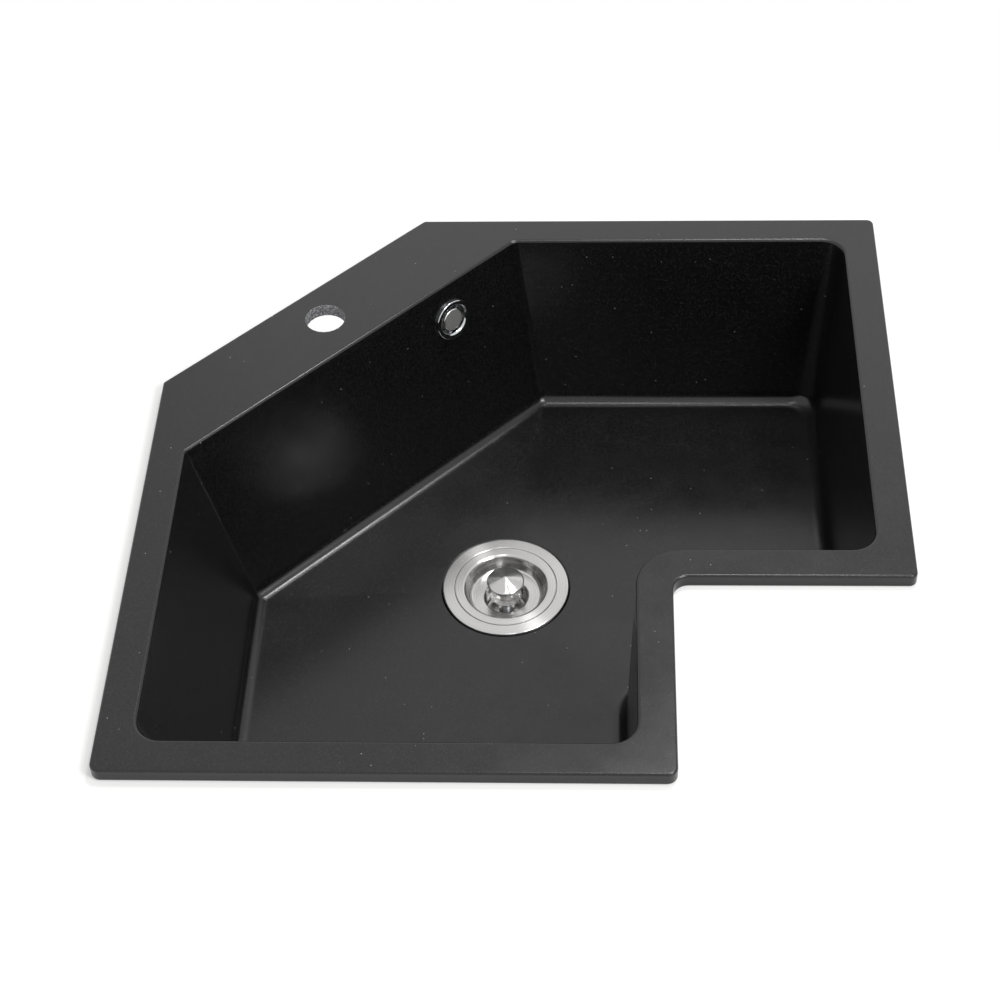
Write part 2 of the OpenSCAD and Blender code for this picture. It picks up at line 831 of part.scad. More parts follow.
// Union nut: z runs from the spigot's shoulder towards the hose
module hose_nut() {
    tall = union_grip + hose_washer_t + union_hold;
    difference() {
        translate([0, 0, -union_grip])
            ribbed_barrel(spigot_d + 2 * union_wall, union_ribs, union_rib_d, tall);
        translate([0, 0, -union_grip - over])
            cylinder(d = spigot_d + 2 * thread_gap, h = union_grip + hose_washer_t + over);
        translate([0, 0, -over]) cylinder(d = hose_d + 2 * hose_gap, h = tall + over);
    }
}

module at_hose_ends() {
    along_drop() translate([0, 0, -drop_len]) rotate([180, 0, 0]) children();
    along_branch() translate([0, 0, branch_run]) children();
}

module hose_nuts() {
    color([0.9, 0.9, 0.88]) at_hose_ends() hose_nut();
}

module hose_washers() {
    color([0.12, 0.12, 0.12]) at_hose_ends() ring(hose_d, hose_bore, 0, hose_washer_t);
}

sink_bowl();
flange_gasket();
strainer_body();
underside_gasket();
friction_washer();
lock_nut();
coupling_washer();
coupling_nut();
waste_tee();
strainer_basket();
detent_ring();
plug_knob();
plug_stem();
plug_washer();
plug_seal();
plug_nut();
overflow_ring();
overflow_cap();
overflow_screw();
overflow_gasket();
overflow_elbow();
overflow_hose();
hose_nuts();
hose_washers();
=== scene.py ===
# %% [markdown]
# A corner kitchen sink
#
# The object is a black quartz composite sink for the corner of a kitchen, with a steel basket
# waste, a chromed overflow and the plastic pipes that hang below. Its shapes were settled in
# CAD. This lesson dresses that model: it makes finer meshes where the CAD ones are too coarse
# for the eye, and gives each surface the finish of the real one. Lengths are written in
# millimetres, and one value, MM, turns them to Blender's metres.

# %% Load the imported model
import bpy
import bmesh
from math import acos, atan, cos, degrees, pi, radians, sin, sqrt, tan
from mathutils import Matrix, Vector


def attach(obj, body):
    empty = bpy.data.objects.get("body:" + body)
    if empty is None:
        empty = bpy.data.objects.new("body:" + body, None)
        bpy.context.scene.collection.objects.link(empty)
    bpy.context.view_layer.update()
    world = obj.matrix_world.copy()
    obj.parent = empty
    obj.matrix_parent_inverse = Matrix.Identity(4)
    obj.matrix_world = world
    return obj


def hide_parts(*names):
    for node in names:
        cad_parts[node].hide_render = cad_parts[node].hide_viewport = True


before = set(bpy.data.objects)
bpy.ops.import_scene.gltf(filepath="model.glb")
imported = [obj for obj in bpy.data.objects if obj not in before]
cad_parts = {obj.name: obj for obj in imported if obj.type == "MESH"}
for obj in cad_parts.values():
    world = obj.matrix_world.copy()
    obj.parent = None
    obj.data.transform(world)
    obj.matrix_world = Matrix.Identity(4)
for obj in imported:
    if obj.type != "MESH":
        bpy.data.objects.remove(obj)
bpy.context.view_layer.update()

# %% [markdown]
# The camera
#
# The photograph looks down into the bowl from above the notch. Its place and lens were worked
# out from the seven corners of the rim, the foot of the bowl's walls and the tap hole, so the
# camera can be set once and every piece then lies where the photograph has it. The matrix is
# built from three turns: the heading, the tilt down and a small lean.

# %% Camera
MM = 0.001
SENSOR, LENS = 36, 79.382
CAMERA_AT = Vector((240.94, -1428.24, 1311.46))
heading, tilt_down, lean = radians(3.806), radians(46.955), radians(-2.685)

scene = bpy.context.scene
camera = bpy.data.objects.new("camera", bpy.data.cameras.new("camera"))
scene.collection.objects.link(camera)
scene.camera = camera
camera.data.sensor_width = SENSOR
camera.data.lens = LENS
forward = Vector((-sin(heading) * cos(tilt_down), cos(heading) * cos(tilt_down), -sin(tilt_down)))
level = Vector((cos(heading), sin(heading), 0))
upright = level.cross(forward)
right = cos(lean) * level + sin(lean) * upright
up = cos(lean) * upright - sin(lean) * level
turned = Matrix((right, up, -forward)).transposed()
camera.matrix_world = Matrix.Translation(CAMERA_AT * MM) @ turned.to_4x4()
print("camera at", [round(x, 3) for x in camera.matrix_world.translation])

# %% [markdown]
# Colours and nodes
#
# Colours are picked as hex values, as on a screen, but the renderer counts light, so each one is
# turned to linear by one function, with the numbers of the sRGB standard. A second small
# function adds a node, sets its inputs and links them, so that a material reads as a short list
# of nodes.

# %% Colour and node helpers
def linear(code):
    """Turns a hex colour to the light that it stands for."""
    parts = [int(code[i:i + 2], 16) / 255 for i in (1, 3, 5)]
    return [x / 12.92 if x <= 0.04045 else ((x + 0.055) / 1.055) ** 2.4 for x in parts] + [1]


def add(tree, kind, inputs=None, **settings):
    """Add a node. A socket given as an input is linked, and anything else is set as its value."""
    node = tree.nodes.new("ShaderNode" + kind)
    for name, value in settings.items():
        setattr(node, name, value)
    for name, value in (inputs or {}).items():
        if isinstance(value, bpy.types.NodeSocket):
            tree.links.new(value, node.inputs[name])
        else:
            node.inputs[name].default_value = value
    return node


def material(name, **values):
    """A material with its main shader, whose plain values are set on the shader's own sockets."""
    made = bpy.data.materials.new(name)
    made.use_nodes = True
    shader = made.node_tree.nodes["Principled BSDF"]
    for key, value in values.items():
        socket = shader.inputs[key.replace("_", " ")]
        socket.default_value = linear(value) if isinstance(value, str) else value
    return made, made.node_tree, shader


def ramp(tree, value, stops):
    """A colour ramp. Each stop is a place from 0 to 1 and a hex colour."""
    node = add(tree, "ValToRGB", {"Fac": value})
    marks = node.color_ramp.elements
    for mark, (place_on_ramp, colour) in zip(marks, stops):
        mark.position = place_on_ramp
        mark.color = linear(colour)
    return node.outputs["Color"]


def sheen_and_bump(tree, shader, sheen, height, rough, swing, bump_mm):
    """Lets one pattern vary the roughness by a swing to both sides, and one raise the surface."""
    rubbed = add(tree, "MapRange", {"Value": sheen, "From Min": 0.3, "From Max": 0.7,
                                    "To Min": rough - swing, "To Max": rough + swing})
    raised = add(tree, "Bump", {"Height": height, "Strength": 1.0, "Distance": bump_mm * MM})
    tree.links.new(rubbed.outputs["Result"], shader.inputs["Roughness"])
    tree.links.new(raised.outputs["Normal"], shader.inputs["Normal"])


# %% [markdown]
# Quartz composite
#
# The bowl is moulded from black quartz grit in acrylic resin. Seen close, it is a satin skin with
# grains of grit a fraction of a millimetre wide that catch the light, and here and there a paler
# fleck. One fine noise on the object's own coordinates both colours the grains and raises them,
# so they run through every wall without a seam. Real grit of about 0.3 mm is too fine to show at
# this distance, so the grains are drawn at 1.3 mm. A slow noise varies the sheen a little, since
# no moulded skin is even. Where the composite is cut, as in the tap hole, it is rougher and
# paler, and its grains are torn open, so they are drawn at 1.7 mm.

# %% Quartz composite
FLECK_APART, SHEEN_SPOT = 2.6, 28


def composite(name, base, grain, fleck, rough, bump_mm, fleck_from, grain_mm):
    """Grit in resin. Cells with a random value over fleck_from hold a fleck."""
    made, tree, shader = material(name, IOR=1.5)
    where = add(tree, "TexCoord").outputs["Object"]
    fine = add(tree, "TexNoise", {"Vector": where, "Scale": 1 / (grain_mm * MM), "Detail": 3,
                                  "Roughness": 0.7})
    soft = add(tree, "TexNoise", {"Vector": where, "Scale": 1 / (SHEEN_SPOT * MM), "Detail": 2})
    spots = add(tree, "TexVoronoi", {"Vector": where, "Scale": 1 / (FLECK_APART * MM)})
    grains = ramp(tree, fine.outputs["Fac"], [(0.46, base), (0.66, grain)])
    near = add(tree, "MapRange", {"Value": spots.outputs["Distance"], "From Min": 0.1,
                                  "From Max": 0.24, "To Min": 1.0, "To Max": 0.0})
    chosen = add(tree, "Math", {0: spots.outputs["Color"], 1: fleck_from},
                 operation="GREATER_THAN")
    both = add(tree, "Math", {0: near.outputs["Result"], 1: chosen.outputs["Value"]},
               operation="MULTIPLY")
    colour = add(tree, "Mix", {"Factor": both.outputs["Value"], "A": grains, "B": linear(fleck)},
                 data_type="RGBA")
    tree.links.new(colour.outputs["Result"], shader.inputs["Base Color"])
    sheen_and_bump(tree, shader, soft.outputs["Fac"], fine.outputs["Fac"], rough, 0.03, bump_mm)
    return made


composite_skin = composite("black_quartz_composite", "#080808", "#242426", "#929296",
                           rough=0.23, bump_mm=0.03, fleck_from=0.92, grain_mm=1.3)
cut_composite = composite("cut_quartz_composite", "#606062", "#d0d0d4", "#e0e0e2",
                          rough=0.7, bump_mm=0.3, fleck_from=0.6, grain_mm=1.7)
print("composite: grains 1.3 mm, flecks", FLECK_APART, "mm apart")

# %% [markdown]
# Pressed and turned steel
#
# The waste is stainless steel. Its flange, dish and knob were turned on a lathe against abrasive,
# which leaves fine rings round the axis. Such rings spread a highlight across them, so light
# fans out from the middle in bright and dark rays, as on the bottom of a pan. The main shader's
# anisotropy makes those rays: it stretches a highlight along the tangent, so the tangent points
# away from the axis, across the rings. The rings themselves are drawn 0.8 mm apart, which is
# coarser than the real ones, so that they show. The same steel left as pressed has a plain shine
# and is a little rougher.

# %% Steels
WASTE = Vector((157.230, -147.755, -176.0))
RING_APART = 0.8


def turned_metal(name, colours, rough, axis, spread, bump_mm):
    """Steel with rings round an upright axis, and a highlight spread across them."""
    made, tree, shader = material(name, Metallic=1.0, Anisotropic=spread)
    where = add(tree, "TexCoord").outputs["Object"]
    centred = add(tree, "Mapping", {"Vector": where, "Location": (-axis.x * MM, -axis.y * MM, 0)})
    flat = add(tree, "VectorMath", {0: centred.outputs["Vector"], 1: (1, 1, 0)},
               operation="MULTIPLY")
    away = add(tree, "VectorMath", {0: flat.outputs["Vector"]}, operation="LENGTH")
    lines = add(tree, "TexNoise", {"W": away.outputs["Value"], "Scale": 1 / (RING_APART * MM),
                                   "Detail": 2}, noise_dimensions="1D")
    shade = ramp(tree, lines.outputs["Fac"], [(0.3, colours[0]), (0.7, colours[1])])
    tree.links.new(shade, shader.inputs["Base Color"])
    sheen_and_bump(tree, shader, lines.outputs["Fac"], lines.outputs["Fac"], rough, 0.02, bump_mm)
    tree.links.new(flat.outputs["Vector"], shader.inputs["Tangent"])
    return made


def plain_finish(name, colours, rough, spot_mm, bump_mm, **values):
    """A finish whose colour, roughness and bump vary softly over spots of one real size."""
    made, tree, shader = material(name, **values)
    where = add(tree, "TexCoord").outputs["Object"]
    spots = add(tree, "TexNoise", {"Vector": where, "Scale": 1 / (spot_mm * MM), "Detail": 4,
                                   "Roughness": 0.6})
    shade = ramp(tree, spots.outputs["Fac"], [(0.3, colours[0]), (0.7, colours[1])])
    tree.links.new(shade, shader.inputs["Base Color"])
    sheen_and_bump(tree, shader, spots.outputs["Fac"], spots.outputs["Fac"], rough, 0.04, bump_mm)
    return made


turned_steel = turned_metal("turned_stainless_steel", ("#b9b8b7", "#cac9c8"), rough=0.2,
                            axis=WASTE, spread=0.92, bump_mm=0.003)
pressed_steel = plain_finish("pressed_stainless_steel", ("#a9a8a6", "#c4c3c1"), rough=0.34,
                             spot_mm=6, bump_mm=0.02, Metallic=1.0)
satin_cap = plain_finish("satin_steel_cap", ("#a9a8a7", "#c4c3c2"), rough=0.55,
                         spot_mm=0.7, bump_mm=0.01, Metallic=1.0)
# The polished edge is paler than the satin cap: partly real polish, partly a painted highlight.
polished_edge_with_painted_highlight = plain_finish("polished_cap_edge_with_painted_highlight", ("#dcdbda", "#e6e5e4"), rough=0.25,
                             spot_mm=2, bump_mm=0.002, Metallic=1.0)
zinc_screw = plain_finish("zinc_plated_screw_steel", ("#9fa2a4", "#c0c3c6"), rough=0.3,
                          spot_mm=1.5, bump_mm=0.01, Metallic=1.0)
print("steel: turned rings", RING_APART, "mm apart")

# %% [markdown]
# Chrome, brass, rubber, card and plastics
#
# The overflow's trim is chromed plastic, which is a dark clear mirror with hardly any grain. The
# small nut is brass. Seals are black rubber with a dull skin, and the slip ring is fibre card.
# The pipes, elbow and nuts are moulded in white polypropylene: it looks soft because a little
# light goes into it, and its skin has the fine grain of the mould. The hose is thinner
# polyethylene in light grey.

# %% Other finishes
chrome = plain_finish("chromed_trim", ("#c6c8ca", "#d2d4d6"), rough=0.1,
                      spot_mm=9, bump_mm=0.004, Metallic=1.0)
brass = plain_finish("turned_brass", ("#b08d4a", "#cbaa62"), rough=0.3,
                     spot_mm=2, bump_mm=0.01, Metallic=1.0)
rubber = plain_finish("black_rubber", ("#161616", "#262625"), rough=0.62,
                      spot_mm=1.2, bump_mm=0.03, IOR=1.52)
card = plain_finish("fibre_card", ("#8a6f52", "#a88c6b"), rough=0.8,
                    spot_mm=0.8, bump_mm=0.05, IOR=1.5)
white_plastic = plain_finish("white_polypropylene", ("#dcdcd8", "#e6e6e2"), rough=0.38,
                             spot_mm=1.0, bump_mm=0.02, IOR=1.49,
                             Subsurface_Weight=0.15, Subsurface_Scale=0.002)
hose_plastic = plain_finish("grey_polyethylene_hose", ("#c2c3c1", "#d0d1cf"), rough=0.42,
                            spot_mm=2.0, bump_mm=0.02, IOR=1.51,
                            Subsurface_Weight=0.15, Subsurface_Scale=0.002)
print("finishes so far:", len(bpy.data.materials))

# %% [markdown]
# Turning a mesh into a piece
#
# Every piece is made in a bmesh, in millimetres, and ends in the same few steps: doubles are
# merged, faces are turned outwards, the mesh is scaled to metres, edges that meet sharply are
# kept sharp and all else is shaded smooth, the finishes are put on, the object is hung on the
# body it rides on, and the CAD nodes it stands for are hidden. A hole is cut by a
# Boolean with a second mesh, whose finish the cut faces take.

# %% Finish a piece
MERGE, SHARP = 0.001, 35


def settle(bm):
    """Merges doubles, turns the faces outwards, scales to metres and shades all smooth."""
    bmesh.ops.remove_doubles(bm, verts=bm.verts[:], dist=MERGE)
    bmesh.ops.recalc_face_normals(bm, faces=bm.faces[:])
    bmesh.ops.scale(bm, vec=(MM, MM, MM), verts=bm.verts[:])
    for face in bm.faces:
        face.smooth = True


def to_object(bm, name):
    """Puts a bmesh into the scene as an object at the origin."""
    mesh = bpy.data.meshes.new(name)
    bm.to_mesh(mesh)
    bm.free()
    made = bpy.data.objects.new(name, mesh)
    scene.collection.objects.link(made)
    return made


def make_piece(name, bm, body, nodes, slot, *finishes, sharp=SHARP):
    """Makes a piece from a bmesh, hangs it on its body and hides its CAD nodes. Its finish's slot
    is not used.
    """
    settle(bm)
    for edge in bm.edges:
        meets = len(edge.link_faces) == 2
        edge.smooth = not (meets and edge.calc_face_angle(0) > radians(sharp))
    piece = to_object(bm, name)
    for finish in finishes:
        piece.data.materials.append(finish)
    even = piece.modifiers.new("even_shading", "WEIGHTED_NORMAL")
    even.keep_sharp = True
    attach(piece, body)
    if nodes:
        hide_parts(*nodes)
    triangles = sum(len(p.vertices) - 2 for p in piece.data.polygons)
    print(f"{name}: {triangles} triangles on {body}")
    return piece


def cut_away(piece, cutter_bm, finish):
    """Cuts the shape of a bmesh, in millimetres, out of a piece, and finishes the cut faces."""
    settle(cutter_bm)
    cutter = to_object(cutter_bm, "cutter")
    cutter_mesh = cutter.data
    cutter_mesh.materials.append(finish)
    cut = piece.modifiers.new("cut", "BOOLEAN")
    cut.object, cut.operation = cutter, "DIFFERENCE"
    cut.solver, cut.material_mode = "EXACT", "TRANSFER"
    piece.modifiers.move(len(piece.modifiers) - 1, 0)
    even = piece.modifiers["even_shading"]
    even.show_viewport = False
    bpy.context.view_layer.update()
    shown = piece.evaluated_get(bpy.context.evaluated_depsgraph_get())
    old = piece.data
    piece.data = bpy.data.meshes.new_from_object(shown)
    piece.data.name = piece.name
    even.show_viewport = True
    piece.modifiers.remove(cut)
    bpy.data.objects.remove(cutter)
    bpy.data.meshes.remove(cutter_mesh)
    bpy.data.meshes.remove(old)


# %% [markdown]
# The bowl's plan
#
# The bowl and its rim are one moulding. Each height of it has the same seven-sided plan, only
# set in by another amount, so the mesh is built as a stack of rings. A ring starts as the seven
# corners where the straight edges cross. A vertex bevel then rounds each corner, which gives
# every ring the same number of points, and the rings can be bridged. The lists below hold one
# value for each edge: front, notch side, notch back, right, back, deck and left. The radii are
# those of the corner at the end of each edge.

# %% Rings of the plan
SIDE, CUT, NOTCH = 620, 212, 190
D = 1 / sqrt(2)
ORIGIN = Vector((132.163, 487.837))
NORMALS = [(0, -1), (1, 0), (0, -1), (1, 0), (0, 1), (-D, D), (-1, 0)]
REACHES = [0, SIDE - NOTCH, -NOTCH, SIDE, SIDE, (SIDE - CUT) * D, 0]
MARGINS = [29, 29, 29, 29, 29, 79, 29]
LEANS = [14, 6, 6, 14, 17, 28, 40]
RIM_RADII = [8, 13, 6, 6, 4, 4, 8]
BOWL_RADII = [20, 38, 20, 20, 9, 5, 20]
CORNERS, INWARD, DECK = len(NORMALS), 1, 5
DEPTH, FLOOR_R, RIM_T, WALL = 185, 12, 12, 9
SHORTEST_SIDE = 40


def round_off(bm, geom, offset, segments, affect="EDGES", clamp=False):
    """Rounds edges or corners."""
    bmesh.ops.bevel(bm, geom=geom, offset=offset, offset_type="OFFSET", segments=segments,
                    profile=0.5, affect=affect, material=-1, clamp_overlap=clamp)


def ring(bm, insets, radii, z, steps=10, cuts=13):
    """Adds one closed ring of the plan at height z and returns its edges."""
    known_faces, known_edges = set(bm.faces), set(bm.edges)
    corners = []
    for i in range(CORNERS):
        k = (i + 1) % CORNERS
        (a, b), (c, d) = NORMALS[i], NORMALS[k]
        here, there = REACHES[i] - insets[i], REACHES[k] - insets[k]
        turn = a * d - b * c
        x, y = (here * d - there * b) / turn, (a * there - c * here) / turn
        corners.append(bm.verts.new((x - ORIGIN.x, y - ORIGIN.y, z)))
    bm.faces.new(corners)
    for i, corner in enumerate(corners):
        (a, b), (c, d) = NORMALS[i], NORMALS[(i + 1) % CORNERS]
        start = radii[i] * tan(acos(a * c + b * d) / 2)
        round_off(bm, [corner], start, steps, affect="VERTICES")
    helpers = [f for f in bm.faces if f not in known_faces]
    bmesh.ops.delete(bm, geom=helpers, context="FACES_ONLY")
    straight = [e for e in bm.edges if e not in known_edges and e.calc_length() > SHORTEST_SIDE]
    bmesh.ops.subdivide_edges(bm, edges=straight, cuts=cuts)
    return [e for e in bm.edges if e not in known_edges]


def grown(radii, grow):
    """Corner radii once the edges have moved outwards. The notch's corner turns the other way."""
    return [r - grow if i == INWARD else r + grow for i, r in enumerate(radii)]


def wall_insets(depth, skin):
    """How far each wall's face is set in at a depth below the rim's top.

    The face lies skin millimetres outside the inner one. Below the straight part it follows
    the fillet at the wall's foot.
    """
    insets = []
    for margin, run in zip(MARGINS, LEANS):
        tilt = atan(run / DEPTH)
        middle = run + FLOOR_R * tan(pi / 4 - tilt / 2)
        r = FLOOR_R + skin
        below = depth - (DEPTH - FLOOR_R)
        if below <= r * sin(tilt):
            insets.append(margin + run * depth / DEPTH - skin / cos(tilt))
        else:
            insets.append(margin + middle - sqrt(max(0, r * r - below * below)))
    return insets


print("plan rings:", CORNERS, "corners, deck at", round(degrees(acos(D))), "degrees")

# %% [markdown]
# The bowl's skin
#
# The stack runs from the floor's edge up the inner walls, over the lip and the rim, down the
# rim's outer edge and back under it along the outside of the walls. Curves get more rings: the
# fillet at the foot of the walls is what catches the light in the photograph, so it has sixteen
# steps. The floor falls 3 mm from the walls to the flat round the waste. It is the last ring
# extruded and drawn in to a circle, which is then filled.

# %% Build the skin
LIP, EDGE, UNDER = 2.5, 2.0, 1.5
FLAT_R, FALL = 63, 3
FLOOR_Z = RIM_T - DEPTH
INSIDE_DEPTHS, OUTSIDE_DEPTHS = (130, 90, 50, 20), (RIM_T, 60, 120)
FILLET_STEPS, LIP_STEPS, EDGE_STEPS, UNDER_STEPS, FOOT_STEPS = 16, 5, 5, 3, 8


def quarter(steps):
    """Angles from zero to a right one."""
    return [pi / 2 * step / steps for step in range(steps + 1)]


def wall_ring(depth, skin=0):
    """The walls' ring at a depth below the rim's top."""
    return ring(bm, wall_insets(depth, skin), grown(BOWL_RADII, skin), RIM_T - depth)


def draw_to_waste(bm, edges, top, shares):
    """Extrudes a ring towards the waste in shares of the way, falling, and fills the last one."""
    for share in shares:
        extruded = bmesh.ops.extrude_edge_only(bm, edges=edges)["geom"]
        edges = [e for e in extruded if isinstance(e, bmesh.types.BMEdge)]
        for v in extruded:
            if isinstance(v, bmesh.types.BMVert):
                away = v.co.xy - WASTE.xy
                v.co.xy = v.co.xy.lerp(WASTE.xy + away.normalized() * FLAT_R, share)
                v.co.z = top - FALL * share
    bmesh.ops.contextual_create(bm, geom=edges)


bm = bmesh.new()
rings = [wall_ring(DEPTH - FLOOR_R + FLOOR_R * cos(a)) for a in quarter(FILLET_STEPS)]
rings += [wall_ring(depth) for depth in INSIDE_DEPTHS]
for a in reversed(quarter(LIP_STEPS)):
    depth, back = LIP * (1 - cos(a)), LIP * (1 - sin(a))
    insets = [u - back for u in wall_insets(depth, 0)]
    rings.append(ring(bm, insets, grown(BOWL_RADII, back), RIM_T - depth))
for a in quarter(EDGE_STEPS):
    u = EDGE * (1 - sin(a))
    rings.append(ring(bm, [u] * CORNERS, grown(RIM_RADII, -u), RIM_T - EDGE * (1 - cos(a))))
for a in quarter(UNDER_STEPS):
    u = UNDER * (1 - cos(a))
    rings.append(ring(bm, [u] * CORNERS, grown(RIM_RADII, -u), UNDER * (1 - sin(a))))
rings += [wall_ring(depth, WALL) for depth in OUTSIDE_DEPTHS]
for a in reversed(quarter(FOOT_STEPS)):
    rings.append(wall_ring(DEPTH - FLOOR_R + (FLOOR_R + WALL) * cos(a), WALL))
for lower, upper in zip(rings, rings[1:]):
    bmesh.ops.bridge_loops(bm, edges=lower + upper)
draw_to_waste(bm, rings[0], FLOOR_Z, (0.02, 0.35, 0.7, 1.0))
draw_to_waste(bm, rings[-1], FLOOR_Z - WALL, (0.02, 0.5, 1.0))
open_edges = [e for e in bm.edges if len(e.link_faces) != 2]
print("bowl skin:", len(rings), "rings of", len(rings[0]), "points,",
      len(open_edges), "open edges")
bowl = make_piece("bowl", bm, "sink", ["sink_bowl"], "composite", composite_skin, cut_composite,
                  sharp=38)

# %% [markdown]
# Lathe work
#
# Everything round is made by spinning a profile, as on a lathe. The profile is a chain of points
# given as distance from the axis and height. After the spin, its sharp rings are bevelled, since
# a real turned edge is never knife sharp and the small round is what shines.

# %% Lathe helper
LEVEL = 0.0005


def lathe(profile, steps=128, soften=0.0, sharpest=25):
    """Spins a profile of (radius, height) about z and rounds its sharp rings.

    The profile is closed unless it starts and ends on the axis.
    """
    bm = bmesh.new()
    chain = [bm.verts.new((r, 0, z)) for r, z in profile]
    to_axis = profile[0][0] == 0 and profile[-1][0] == 0
    pairs = list(zip(chain, chain[1:])) + ([] if to_axis else [(chain[-1], chain[0])])
    edges = [bm.edges.new(pair) for pair in pairs]
    bmesh.ops.spin(bm, geom=chain + edges, cent=(0, 0, 0), axis=(0, 0, 1), angle=2 * pi,
                   steps=steps, use_merge=True)
    bmesh.ops.remove_doubles(bm, verts=bm.verts[:], dist=MERGE)
    bmesh.ops.dissolve_degenerate(bm, edges=bm.edges[:], dist=LEVEL)
    bmesh.ops.recalc_face_normals(bm, faces=bm.faces[:])
    if soften:
        turning = [e for e in bm.edges if len(e.link_faces) == 2
                   and e.calc_face_angle(0) > radians(sharpest)
                   and abs(e.verts[0].co.z - e.verts[1].co.z) < LEVEL]
        round_off(bm, turning, soften, 2, clamp=True)
    return bm


def place(bm, at=None, turn=None):
    """Turns a bmesh, then moves it to its place, in millimetres."""
    if turn:
        bmesh.ops.transform(bm, matrix=turn.to_4x4(), verts=bm.verts[:])
    if at:
        bmesh.ops.translate(bm, vec=at, verts=bm.verts[:])
    return bm


def join(target, *others):
    """Adds other bmeshes to the first one."""
    for other in others:
        holder = bpy.data.meshes.new("holder")
        other.to_mesh(holder)
        other.free()
        target.from_mesh(holder)
        bpy.data.meshes.remove(holder)
    return target


# %% [markdown]
# Holes in the bowl
#
# The waste hole has a shallow seat for the flange. The overflow hole is square to its leaning
# wall. The tap hole is drilled by the fitter through a thin spot, so its wall is rough, paler
# than the moulded skin and not quite round at the edges. All three are cut by a Boolean. The
# drill's cutter has its points shaken a little before it cuts, with a fixed pattern of sines
# instead of chance, so that each run gives the same edge.

# %% Cut the holes
HOLE_R, SEAT_R, SEAT_DEEP = 46, 57.6, 3
TAP_R, DRILL_LONG, SHAKE = 17.5, 24, 0.0035
OVERFLOW_R = 15
OVER_AT = Vector((108.0128, 40.4788, -26.0))
over_tilt = atan(LEANS[DECK] / DEPTH)
over_turn = Matrix.Rotation(radians(-45), 3, "Z") @ Matrix.Rotation(pi / 2 - over_tilt, 3, "Y")

seat_profile = [(0, -12), (HOLE_R, -12), (HOLE_R, -SEAT_DEEP), (SEAT_R, -SEAT_DEEP), (SEAT_R, 6),
                (0, 6)]
cut_away(bowl, place(lathe(seat_profile, 192), WASTE), composite_skin)

drill = bmesh.new()
bmesh.ops.create_cone(drill, cap_ends=True, segments=160, radius1=TAP_R, radius2=TAP_R,
                      depth=DRILL_LONG)
walls = [e for e in drill.edges if abs(e.verts[0].co.z - e.verts[1].co.z) > 1]
bmesh.ops.subdivide_edges(drill, edges=walls, cuts=DRILL_LONG - 1, use_grid_fill=True)
for v in drill.verts:
    around, z = v.co.xy.angle_signed(Vector((1, 0)), 0), v.co.z
    shake = sin(23 * around + 2.1 * z) + sin(41 * around - 3.3 * z) + sin(67 * around + 5.7 * z)
    v.co.xy = v.co.xy * (1 + SHAKE * shake)
cut_away(bowl, place(drill, Vector((0, 0, RIM_T / 2))), cut_composite)

bore = lathe([(0, -14), (OVERFLOW_R, -14), (OVERFLOW_R, 6), (0, 6)], 96)
cut_away(bowl, place(bore, OVER_AT, over_turn), composite_skin)
print("bowl after cuts:", len(bowl.data.polygons), "faces,",
      "materials", [m.name for m in bowl.data.materials])

# %% [markdown]
# The waste's cup and flange
#
# The cup is pressed from one sheet: a flat polished flange on the floor, a small step down to
# the seat where the basket's own flange rests, a straight wall, a cone and a spout. It is one
# profile. The flange lies flat in its seat, and a small rounded edge closes it. Heights are
# counted from the bottom of the floor's fall.

# %% Cup
flange = [(42.9, -1), (56, -1), (56, 0.7), (55.8, 1.1), (55.3, 1.35), (54.6, 1.4), (45.8, 1.4)]
step_and_inside = [(45.4, 1.0), (45.4, 0.2), (41.4, 0.2), (41.4, -42), (26.5, -54), (19.5, -54)]
spout_and_outside = [(19.5, -76), (23.5, -76), (23.5, -55.5), (28, -55.5), (42.9, -43.5)]
cup = place(lathe(flange + step_and_inside + spout_and_outside, 192, 0.25), WASTE)
make_piece("waste_cup", cup, "sink", ["strainer_body"], "turned_steel", turned_steel)

# %% [markdown]
# The basket
#
# The basket is a dish of 1 mm sheet with a sump in its middle. Water leaves through slots round
# the sump and holes in its floor. The sheet's profile is spun and the openings are cut through
# it. Its rim is flat and its bend into the dish is a soft roll, which shows as a bright ring.

# %% Basket
SLOTS, SLOT_SIZE, SLOT_AT, SLOT_ROUND = 12, (4, 2.4, 12), (19.5, 0, -22.1), 1.15
HOLES, DRAIN_R, DRAIN_LONG, DRAIN_AT = 10, 2.1, 4, (13.7, 0, -33)


def arc(centre, radius, start, end, steps):
    """Points of an arc, with angles in degrees."""
    angles = [radians(start + (end - start) * s / steps) for s in range(steps + 1)]
    return [(centre[0] + radius * cos(a), centre[1] + radius * sin(a)) for a in angles]


def turned_by(k, count):
    """The turn of copy k of count round z."""
    return Matrix.Rotation(2 * pi * k / count, 3, "Z")


top_skin = ([(45, 1.2), (44.8, 1.4)] + arc((38.5, -2.1), 3.5, 90, 161.7, 9)
            + arc((29.5, -8.6), 3, -18.3, -90, 8)
            + arc((21, -13.6), 2, 90, 180, 8)
            + arc((17, -30.6), 2, 0, -90, 6) + [(7, -32.6), (7, -26.6)])
low_skin = ([(4.05, -26.6), (4.05, -33.6)] + arc((17, -30.6), 3, -90, 0, 6)
            + arc((21, -13.6), 1, 180, 90, 6)
            + arc((29.5, -8.6), 4, -90, -18.3, 8)
            + arc((38.5, -2.1), 2.5, 161.7, 90, 9) + [(45, 0.4)])
basket = place(lathe(top_skin + low_skin, 192), WASTE)
basket = make_piece("basket_dish", basket, "basket", ["strainer_basket"], "turned_steel",
                    turned_steel)

